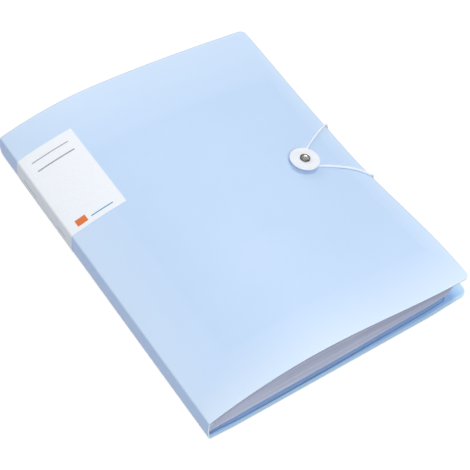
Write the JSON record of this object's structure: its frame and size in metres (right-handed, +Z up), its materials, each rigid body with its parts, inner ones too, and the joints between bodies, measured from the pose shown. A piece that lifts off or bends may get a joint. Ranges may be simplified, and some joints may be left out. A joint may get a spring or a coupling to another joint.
{
  "type": "display book",
  "caption": "Closed soft-cover display book: clear pockets on a binding strip, a label round the spine, and an elastic loop hooked under a round button on the front cover.",
  "frame": {"origin": "middle of the flat underside of the back cover", "axes": "+Z up through the closed book, +Y along the spine towards the head, +X from the spine towards the fore edge"},
  "size_m": [0.2336, 0.308, 0.038],
  "materials": {
    "cover": "pale blue translucent polypropylene, finely frosted",
    "film": "clear soft film",
    "strip": "translucent",
    "label": "matt white card",
    "button": "white, satin",
    "rivet": "nickel-plated",
    "elastic": "white woven cord"
  },
  "bodies": {
    "back_cover": {"back_cover": "cover", "elastic_stop_head": "elastic", "elastic_stop_tail": "elastic"},
    "spine": {"spine_panel": "cover", "binding_strip": "strip", "label_spine": "label"},
    "front_cover": {"front_cover": "cover", "label_front": "label", "button_collar": "button", "rivet": "rivet", "rivet_washer": "rivet"},
    "button": {"button_disc": "button"},
    "elastic_loop": {"elastic_cord": "elastic"},
    "pocket_01": {"pocket_01_front_film": "film", "pocket_01_back_film": "film"},
    "pocket_02": {"pocket_02_front_film": "film", "pocket_02_back_film": "film"},
    "pocket_03": {"pocket_03_front_film": "film", "pocket_03_back_film": "film"},
    "pocket_04": {"pocket_04_front_film": "film", "pocket_04_back_film": "film"},
    "pocket_05": {"pocket_05_front_film": "film", "pocket_05_back_film": "film"},
    "pocket_06": {"pocket_06_front_film": "film", "pocket_06_back_film": "film"},
    "pocket_07": {"pocket_07_front_film": "film", "pocket_07_back_film": "film"},
    "pocket_08": {"pocket_08_front_film": "film", "pocket_08_back_film": "film"},
    "pocket_09": {"pocket_09_front_film": "film", "pocket_09_back_film": "film"},
    "pocket_10": {"pocket_10_front_film": "film", "pocket_10_back_film": "film"},
    "pocket_11": {"pocket_11_front_film": "film", "pocket_11_back_film": "film"},
    "pocket_12": {"pocket_12_front_film": "film", "pocket_12_back_film": "film"},
    "pocket_13": {"pocket_13_front_film": "film", "pocket_13_back_film": "film"},
    "pocket_14": {"pocket_14_front_film": "film", "pocket_14_back_film": "film"},
    "pocket_15": {"pocket_15_front_film": "film", "pocket_15_back_film": "film"},
    "pocket_16": {"pocket_16_front_film": "film", "pocket_16_back_film": "film"},
    "pocket_17": {"pocket_17_front_film": "film", "pocket_17_back_film": "film"},
    "pocket_18": {"pocket_18_front_film": "film", "pocket_18_back_film": "film"},
    "pocket_19": {"pocket_19_front_film": "film", "pocket_19_back_film": "film"},
    "pocket_20": {"pocket_20_front_film": "film", "pocket_20_back_film": "film"}
  },
  "joints": [
    {"name": "spine_fold", "type": "hinge", "parent": "back_cover", "child": "spine", "pos_m": [-0.1146, 0, 0.002], "axis": [0, -1, 0], "range_deg": [0, 90]},
    {"name": "front_cover_fold", "type": "hinge", "parent": "spine", "child": "front_cover", "pos_m": [-0.1146, 0, 0.0222], "axis": [0, -1, 0], "range_deg": [0, 70.5]},
    {"name": "pocket_01_turn", "type": "hinge", "parent": "spine", "child": "pocket_01", "pos_m": [-0.1124, 0, 0.00344], "axis": [0, -1, 0], "range_deg": [-90.5, 0]},
    {"name": "pocket_02_turn", "type": "hinge", "parent": "spine", "child": "pocket_02", "pos_m": [-0.11195, 0, 0.00435], "axis": [0, -1, 0], "range_deg": [-90.2, 0]},
    {"name": "pocket_03_turn", "type": "hinge", "parent": "spine", "child": "pocket_03", "pos_m": [-0.1115, 0, 0.00526], "axis": [0, -1, 0], "range_deg": [-89.9, 0]},
    {"name": "pocket_04_turn", "type": "hinge", "parent": "spine", "child": "pocket_04", "pos_m": [-0.11105, 0, 0.00617], "axis": [0, -1, 0], "range_deg": [-89.6, 0]},
    {"name": "pocket_05_turn", "type": "hinge", "parent": "spine", "child": "pocket_05", "pos_m": [-0.1106, 0, 0.00709], "axis": [0, -1, 0], "range_deg": [-89.3, 0]},
    {"name": "pocket_06_turn", "type": "hinge", "parent": "spine", "child": "pocket_06", "pos_m": [-0.11015, 0, 0.008], "axis": [0, -1, 0], "range_deg": [-89, 0]},
    {"name": "pocket_07_turn", "type": "hinge", "parent": "spine", "child": "pocket_07", "pos_m": [-0.1097, 0, 0.00891], "axis": [0, -1, 0], "range_deg": [-88.7, 0]},
    {"name": "pocket_08_turn", "type": "hinge", "parent": "spine", "child": "pocket_08", "pos_m": [-0.10925, 0, 0.00982], "axis": [0, -1, 0], "range_deg": [-88.4, 0]},
    {"name": "pocket_09_turn", "type": "hinge", "parent": "spine", "child": "pocket_09", "pos_m": [-0.1088, 0, 0.01073], "axis": [0, -1, 0], "range_deg": [-88.1, 0]},
    {"name": "pocket_10_turn", "type": "hinge", "parent": "spine", "child": "pocket_10", "pos_m": [-0.10835, 0, 0.01164], "axis": [0, -1, 0], "range_deg": [-87.8, 0]},
    {"name": "pocket_11_turn", "type": "hinge", "parent": "spine", "child": "pocket_11", "pos_m": [-0.10835, 0, 0.01256], "axis": [0, -1, 0], "range_deg": [0, 67.8]},
    {"name": "pocket_12_turn", "type": "hinge", "parent": "spine", "child": "pocket_12", "pos_m": [-0.1088, 0, 0.01347], "axis": [0, -1, 0], "range_deg": [0, 68.1]},
    {"name": "pocket_13_turn", "type": "hinge", "parent": "spine", "child": "pocket_13", "pos_m": [-0.10925, 0, 0.01438], "axis": [0, -1, 0], "range_deg": [0, 68.4]},
    {"name": "pocket_14_turn", "type": "hinge", "parent": "spine", "child": "pocket_14", "pos_m": [-0.1097, 0, 0.01529], "axis": [0, -1, 0], "range_deg": [0, 68.7]},
    {"name": "pocket_15_turn", "type": "hinge", "parent": "spine", "child": "pocket_15", "pos_m": [-0.11015, 0, 0.0162], "axis": [0, -1, 0], "range_deg": [0, 69]},
    {"name": "pocket_16_turn", "type": "hinge", "parent": "spine", "child": "pocket_16", "pos_m": [-0.1106, 0, 0.01711], "axis": [0, -1, 0], "range_deg": [0, 69.3]},
    {"name": "pocket_17_turn", "type": "hinge", "parent": "spine", "child": "pocket_17", "pos_m": [-0.11105, 0, 0.01803], "axis": [0, -1, 0], "range_deg": [0, 69.6]},
    {"name": "pocket_18_turn", "type": "hinge", "parent": "spine", "child": "pocket_18", "pos_m": [-0.1115, 0, 0.01894], "axis": [0, -1, 0], "range_deg": [0, 69.9]},
    {"name": "pocket_19_turn", "type": "hinge", "parent": "spine", "child": "pocket_19", "pos_m": [-0.11195, 0, 0.01985], "axis": [0, -1, 0], "range_deg": [0, 70.2]},
    {"name": "pocket_20_turn", "type": "hinge", "parent": "spine", "child": "pocket_20", "pos_m": [-0.1124, 0, 0.02076], "axis": [0, -1, 0], "range_deg": [0, 70.5]},
    {"name": "elastic_swing", "type": "hinge", "parent": "back_cover", "child": "elastic_loop", "pos_m": [0.1163, 0, 0.0061], "axis": [0, 1, 0], "range_deg": [0, 152.5], "deforming": ["elastic_cord"]},
    {"name": "button_spin", "type": "hinge", "parent": "front_cover", "child": "button", "pos_m": [0.073, 0.0048, 0.02222], "axis": [0.2124, 0.0132, 0.9771], "continuous": true}
  ],
  "couplings": [
    {"joint": "front_cover_fold", "follows": "spine_fold", "ratio": 0.77778},
    {"joint": "pocket_01_turn", "follows": "spine_fold", "ratio": -1},
    {"joint": "pocket_02_turn", "follows": "spine_fold", "ratio": -0.99667},
    {"joint": "pocket_03_turn", "follows": "spine_fold", "ratio": -0.99333},
    {"joint": "pocket_04_turn", "follows": "spine_fold", "ratio": -0.99},
    {"joint": "pocket_05_turn", "follows": "spine_fold", "ratio": -0.98667},
    {"joint": "pocket_06_turn", "follows": "spine_fold", "ratio": -0.98333},
    {"joint": "pocket_07_turn", "follows": "spine_fold", "ratio": -0.98},
    {"joint": "pocket_08_turn", "follows": "spine_fold", "ratio": -0.97667},
    {"joint": "pocket_09_turn", "follows": "spine_fold", "ratio": -0.97333},
    {"joint": "pocket_10_turn", "follows": "spine_fold", "ratio": -0.97},
    {"joint": "pocket_11_turn", "follows": "spine_fold", "ratio": 0.74778},
    {"joint": "pocket_12_turn", "follows": "spine_fold", "ratio": 0.75111},
    {"joint": "pocket_13_turn", "follows": "spine_fold", "ratio": 0.75444},
    {"joint": "pocket_14_turn", "follows": "spine_fold", "ratio": 0.75778},
    {"joint": "pocket_15_turn", "follows": "spine_fold", "ratio": 0.76111},
    {"joint": "pocket_16_turn", "follows": "spine_fold", "ratio": 0.76444},
    {"joint": "pocket_17_turn", "follows": "spine_fold", "ratio": 0.76778},
    {"joint": "pocket_18_turn", "follows": "spine_fold", "ratio": 0.77111},
    {"joint": "pocket_19_turn", "follows": "spine_fold", "ratio": 0.77444},
    {"joint": "pocket_20_turn", "follows": "spine_fold", "ratio": 0.77778},
    {"joint": "elastic_swing", "follows": "spine_fold", "ratio": 1.6889}
  ]
}
